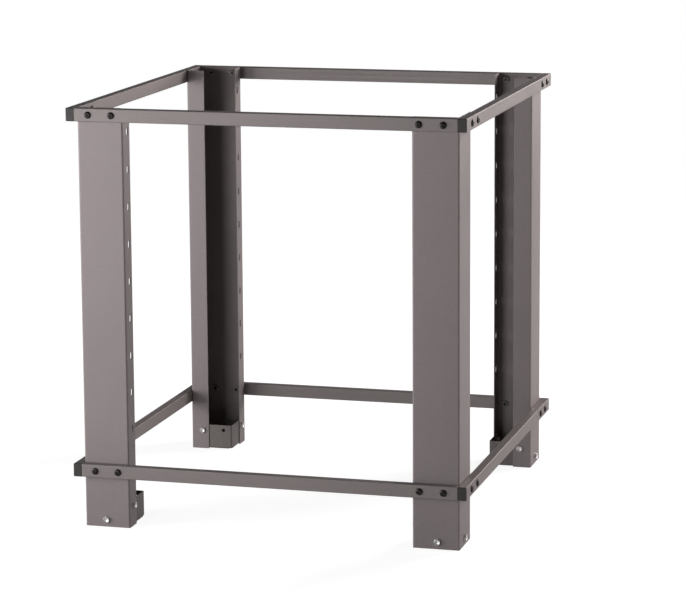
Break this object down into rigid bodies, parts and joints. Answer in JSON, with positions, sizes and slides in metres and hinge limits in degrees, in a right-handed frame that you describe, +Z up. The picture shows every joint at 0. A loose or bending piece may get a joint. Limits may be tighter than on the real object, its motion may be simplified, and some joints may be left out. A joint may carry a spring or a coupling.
{
  "type": "outdoor pizza oven stand",
  "caption": "Open frame stand for an outdoor pizza oven: square slotted legs folded from sheet, with bolted tube rails round the top and near the floor.",
  "frame": {"origin": "on the floor, under the middle of the stand", "axes": "+X to the right and +Y to the back, seen from the front; +Z up"},
  "size_m": [0.9172, 0.9172, 0.956],
  "materials": {
    "leg_coat": "warm dark grey semi-gloss metallic powder coat on folded steel sheet",
    "rail_coat": "warm dark grey semi-gloss metallic powder coat on steel tube",
    "bracket_coat": "warm dark grey semi-gloss metallic powder coat on folded steel sheet",
    "cap_plastic": "dark grey moulded plastic, fine grain",
    "black_steel": "black oxide steel, slightly oily sheen",
    "zinc": "bright zinc plate",
    "dull_zinc": "dull grey zinc plate"
  },
  "bodies": {
    "root": {"bolts_bottom_front": "black_steel", "bolts_bottom_left": "black_steel", "bolts_bottom_rear": "black_steel", "bolts_bottom_right": "black_steel", "bolts_top_front": "black_steel", "bolts_top_left": "black_steel", "bolts_top_rear": "black_steel", "bolts_top_right": "black_steel", "end_cap_bottom_front_left": "cap_plastic", "end_cap_bottom_front_right": "cap_plastic", "end_cap_bottom_rear_left": "cap_plastic", "end_cap_bottom_rear_right": "cap_plastic", "end_cap_top_front_left": "cap_plastic", "end_cap_top_front_right": "cap_plastic", "end_cap_top_rear_left": "cap_plastic", "end_cap_top_rear_right": "cap_plastic", "foot_bracket_front_left": "bracket_coat", "foot_bracket_front_right": "bracket_coat", "foot_bracket_rear_left": "bracket_coat", "foot_bracket_rear_right": "bracket_coat", "foot_nuts_front_left": "zinc", "foot_nuts_front_right": "zinc", "foot_nuts_rear_left": "zinc", "foot_nuts_rear_right": "zinc", "foot_screws_front_left": "zinc", "foot_screws_front_right": "zinc", "foot_screws_rear_left": "zinc", "foot_screws_rear_right": "zinc", "leg_front_left": "leg_coat", "leg_front_right": "leg_coat", "leg_rear_left": "leg_coat", "leg_rear_right": "leg_coat", "nuts_bottom_front": "dull_zinc", "nuts_bottom_left": "dull_zinc", "nuts_bottom_rear": "dull_zinc", "nuts_bottom_right": "dull_zinc", "nuts_top_front": "dull_zinc", "nuts_top_left": "dull_zinc", "nuts_top_rear": "dull_zinc", "nuts_top_right": "dull_zinc", "rail_bottom_front": "rail_coat", "rail_bottom_left": "rail_coat", "rail_bottom_rear": "rail_coat", "rail_bottom_right": "rail_coat", "rail_top_front": "rail_coat", "rail_top_left": "rail_coat", "rail_top_rear": "rail_coat", "rail_top_right": "rail_coat"}
  },
  "joints": []
}
